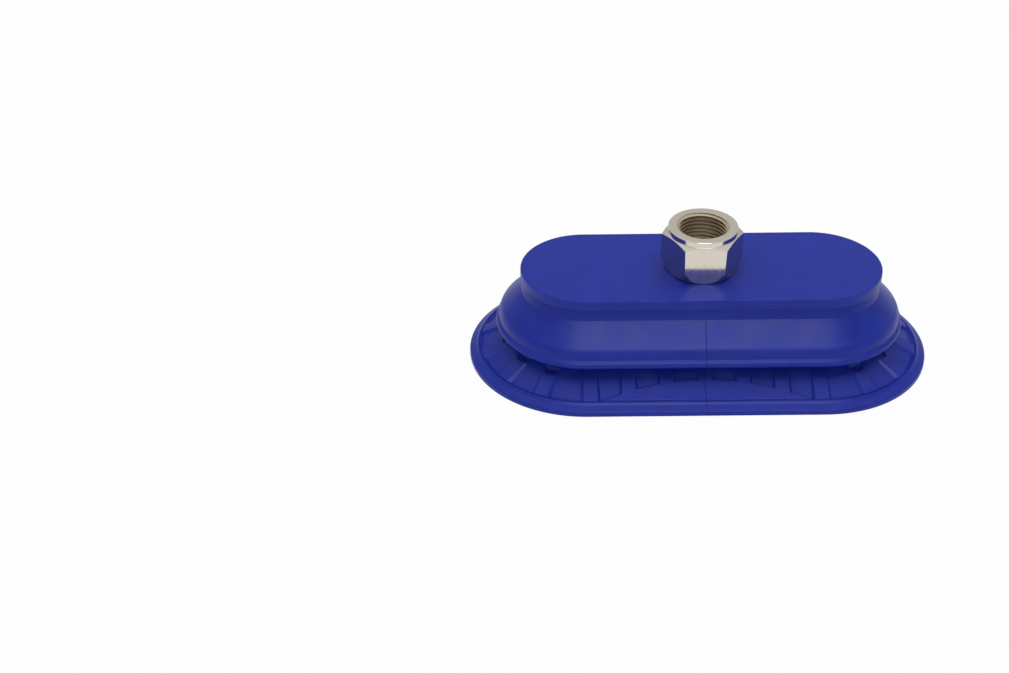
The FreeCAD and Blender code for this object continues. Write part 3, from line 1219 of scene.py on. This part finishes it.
@dataclass
class Connector:
    """The turned hexagon connector: female thread, collar, and a tube rolled over under the head."""

    head_top: float
    across_flats: float = 0.0227
    hex_height: float = 0.0130
    top_chamfer: float = 0.0009
    base_chamfer: float = 0.0040
    base_radius: float = 0.0113
    corner_edge: float = 0.00022
    collar_radius: float = 0.01105
    collar_height: float = 0.0020
    thread_minor_radius: float = 0.007475
    thread_major_radius: float = 0.00833
    thread_pitch: float = 0.001337
    thread_root_half: float = 0.00010
    thread_flank: float = math.radians(27.5)
    thread_depth: float = 0.0125
    thread_run_out: float = 0.0012
    thread_mouth_radius: float = 0.00835
    thread_mouth_depth: float = 0.0005
    drill_half_angle: float = math.radians(60)
    tube_radius: float = 0.0055
    tube_bore_radius: float = 0.0046
    rolled_rim_radius: float = 0.0063
    rolled_rim_height: float = 0.0012
    recess_roof: float = 0.0035
    tube_end_edge: float = 0.0004
    rolled_rim_edge: float = 0.0005
    rolled_rim_top_edge: float = 0.0002
    base_edge: float = 0.00035
    collar_root_edge: float = 0.00012
    collar_edge: float = 0.00030
    mouth_edge: float = 0.00012
    arc_turn: float = math.radians(18)
    turn_steps: int = 144
    thread_steps: int = 72
    crisp: float = math.radians(32)
    finish: NickelPlate = field(default_factory=NickelPlate)

    @property
    def top(self) -> float:
        """Height of the collar's end face."""
        return self.head_top + self.hex_height + self.collar_height

    @property
    def recess_top(self) -> float:
        """Height of the recess's roof in the head, which the rolled rim bears on."""
        return self.head_top - self.recess_roof

    @property
    def rim_bottom(self) -> float:
        """Height of the rolled rim's lower face."""
        return self.recess_top - self.rolled_rim_height

    @property
    def bore_floor(self) -> float:
        """Height where the thread's bore gives way to the drill cone."""
        return self.top - self.thread_depth

    def section(self) -> list[Vector]:
        """Closed half section, from the tube's end up the outside and down the bore."""
        hex_top = self.head_top + self.hex_height
        corner = self.across_flats / math.sqrt(3)
        cone = (self.thread_minor_radius - self.tube_bore_radius) / math.tan(self.drill_half_angle)
        return rounded([
            Corner(self.tube_bore_radius, self.bore_floor - cone),
            Corner(self.tube_bore_radius, self.rim_bottom, self.tube_end_edge),
            Corner(self.rolled_rim_radius, self.rim_bottom, self.rolled_rim_edge),
            Corner(self.rolled_rim_radius, self.recess_top, self.rolled_rim_top_edge),
            Corner(self.tube_radius, self.recess_top),
            Corner(self.tube_radius, self.head_top),
            Corner(self.base_radius, self.head_top, self.base_edge),
            Corner(corner, self.head_top + self.base_chamfer),
            Corner(corner, hex_top - self.top_chamfer),
            Corner(self.collar_radius, hex_top, self.collar_root_edge),
            Corner(self.collar_radius, self.top, self.collar_edge),
            Corner(self.thread_mouth_radius, self.top, self.mouth_edge),
            Corner(self.thread_minor_radius, self.top - self.thread_mouth_depth),
            Corner(self.thread_minor_radius, self.bore_floor),
            Corner(self.tube_bore_radius, self.bore_floor - cone),
        ], self.arc_turn)

    def turned(self) -> Workpiece:
        """Turn the section, as on a lathe."""
        points = [Vector((point.x, 0, point.y)) for point in self.section()]
        turned = Workpiece.line("connector_plated", points)
        turned.weld()
        turned.spin_round(self.turn_steps)
        return turned

    def bar_stock(self) -> Workpiece:
        """The hexagon bar that the outside is left from, with eased corners."""
        foot = Vector((0, 0, self.rim_bottom - OVERRUN))
        height = self.top - self.rim_bottom + 2 * OVERRUN
        stock = Workpiece.rod("hexagon", self.across_flats / math.sqrt(3), foot, height, 6)
        stock = stock.patterned([Matrix.Rotation(math.radians(30), 4, "Z")])
        stock.soften(self.corner_edge, 3, math.radians(45))
        return stock

    def thread(self) -> Workpiece:
        """Cutter for the thread's groove, wound up the bore and out of its mouth."""
        inner = self.thread_minor_radius - self.thread_root_half
        spread_half = self.thread_root_half + (self.thread_major_radius - inner) * math.tan(self.thread_flank)
        start = self.bore_floor + self.thread_run_out
        turns = math.ceil((self.top + self.thread_pitch - start) / self.thread_pitch)
        root = self.thread_root_half
        outline = [
            Vector((inner, 0, start - spread_half)),
            Vector((self.thread_major_radius, 0, start - root)),
            Vector((self.thread_major_radius, 0, start + root)),
            Vector((inner, 0, start + spread_half)),
            Vector((inner, 0, start - spread_half)),
        ]
        cutter = Workpiece.line("thread", outline)
        cutter.weld()
        cutter.modify("SCREW", {
            "axis": "Z",
            "angle": 2 * math.pi,
            "screw_offset": self.thread_pitch,
            "iterations": turns,
            "steps": self.thread_steps,
            "render_steps": self.thread_steps,
            "use_merge_vertices": True,
            "merge_threshold": TINY,
        })
        cutter.close()
        return cutter

    def build(self) -> bpy.types.Object:
        """Model and dress the connector.

        Returns:
            The finished object, which stands for the CAD connector.
        """
        body = self.turned()
        body.combine(self.bar_stock(), Fit.KEEP)
        body.combine(self.thread(), Fit.CUT)
        body.shade(self.crisp)
        piece = body.piece
        piece.data.materials.clear()
        piece.data.materials.append(self.finish.material())
        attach(piece, BODY)
        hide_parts("connector")
        return piece


@dataclass(frozen=True)
class Lamp:
    """A wide soft light, aimed at a point, that can be left out of mirrors or of plain light."""

    name: str
    place: Vector
    aim: Vector
    width: float
    depth: float
    power: float
    mirrored: bool = True
    lights: bool = True

    def hang(self) -> None:
        """Add the light."""
        bpy.ops.object.select_all(action="DESELECT")
        bpy.ops.object.light_add(type="AREA", location=self.place)
        lamp = bpy.context.object
        lamp.name = self.name
        lamp.data.shape = "RECTANGLE"
        lamp.data.size = self.width
        lamp.data.size_y = self.depth
        lamp.data.energy = self.power
        lamp.visible_glossy = self.mirrored
        lamp.visible_diffuse = self.lights
        lamp.rotation_euler = (self.aim - self.place).to_track_quat("-Z", "Y").to_euler()


@dataclass
class Studio:
    """White sweep, soft light and the camera that looks down on the front of the cup."""

    image_width: float = 1009.0
    focal_pixels: float = 1600.30
    sensor: float = 36.0
    eye: Vector = field(default_factory=lambda: Vector((-0.05802, -0.43850, 0.30347)))
    pitch: float = 0.59705
    yaw: float = 0.01248
    roll: float = -0.01704
    floor_size: float = 8.0
    floor_white: Colour = (0.90, 0.90, 0.90, 1.0)
    floor_glow: float = 0.94
    fill: float = 0.17
    horizon: float = 0.45
    zenith: float = 0.90
    clip_start: float = 0.01
    light_aim: Vector = field(default_factory=lambda: Vector((0.0, 0.0, 0.02)))

    def camera(self) -> None:
        """Place the camera and make it the scene's own."""
        bpy.ops.object.select_all(action="DESELECT")
        bpy.ops.object.camera_add(location=self.eye)
        camera = bpy.context.object
        turn = Matrix.Rotation(self.yaw, 3, "Z") @ Matrix.Rotation(math.pi / 2 - self.pitch, 3, "X")
        camera.rotation_euler = (turn @ Matrix.Rotation(self.roll, 3, "Z")).to_euler()
        camera.data.sensor_fit = "HORIZONTAL"
        camera.data.sensor_width = self.sensor
        camera.data.lens = self.focal_pixels / self.image_width * self.sensor
        camera.data.clip_start = self.clip_start
        bpy.context.scene.camera = camera

    def floor(self) -> None:
        """Lay the white floor, which shows as background and keeps a trace of the shadow."""
        bpy.ops.object.select_all(action="DESELECT")
        bpy.ops.mesh.primitive_plane_add(size=self.floor_size)
        floor = bpy.context.object
        floor.name = "floor"
        made, graph = new_material("white_sweep")
        share = graph.seen() * self.floor_glow
        paper = graph.node("BsdfDiffuse", {}, {"Color": self.floor_white})
        glow = graph.node("Emission", {}, {"Color": WHITE, "Strength": 1.0})
        both = graph.node("MixShader", {}, {0: share, 1: paper.outputs[0], 2: glow.outputs[0]})
        graph.node("OutputMaterial", {}, {"Surface": both.outputs[0]})
        floor.data.materials.append(made)

    def world(self) -> None:
        """Set a pale surround that gloss shows brightest overhead, and dimmer as a source of fill light."""
        world = bpy.data.worlds.new("surround")
        world.use_nodes = True
        bpy.context.scene.world = world
        graph = Graph(world.node_tree)
        way = graph.node("SeparateXYZ", {}, {0: graph.node("TexCoord", {}, {}).outputs["Generated"]})
        height = Value(graph, way.outputs[2]).either(0.0)
        shown = height * (self.zenith - self.horizon) + self.horizon
        strength = graph.seen() * (shown - self.fill) + self.fill
        back = graph.node("Background", {}, {"Color": WHITE, "Strength": strength})
        graph.node("OutputWorld", {}, {"Surface": back.outputs[0]})

    def lamps(self) -> list[Lamp]:
        """A wide light overhead, a card in front that only gloss shows, and a faint light low in front."""
        overhead = Vector((0.0, 0.10, 0.90))
        front = Vector((0.03, -0.77, 0.80))
        low = Vector((0.0, -1.20, 0.12))
        aim = self.light_aim
        return [
            Lamp("overhead_light", overhead, aim, width=1.8, depth=1.0, power=10.6, mirrored=False),
            Lamp("high_front_card", front, aim, width=0.70, depth=0.40, power=4.9, lights=False),
            Lamp("low_front_light", low, aim, width=1.6, depth=0.12, power=4.2, mirrored=False),
        ]

    def set_up(self) -> None:
        """Set the whole stage."""
        self.camera()
        self.floor()
        self.world()
        for lamp in self.lamps():
            lamp.hang()
        bpy.context.scene.view_settings.view_transform = "Standard"


def main() -> None:
    """Build both pieces and the stage."""
    logging.basicConfig(level=logging.INFO, format="%(name)s: %(message)s")
    _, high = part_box("cup_body")
    section = CupSection(lip_reach=high.y, head_top=high.z)
    plan = OvalPlan(straight_half=high.x - high.y)
    connector = Connector(section.head_top)
    for maker in (CupBody(section, plan, connector), connector):
        piece = maker.build()
        log.info("%s: %d faces", piece.name, len(piece.data.polygons))
    Studio().set_up()


if __name__ == "__main__":
    main()
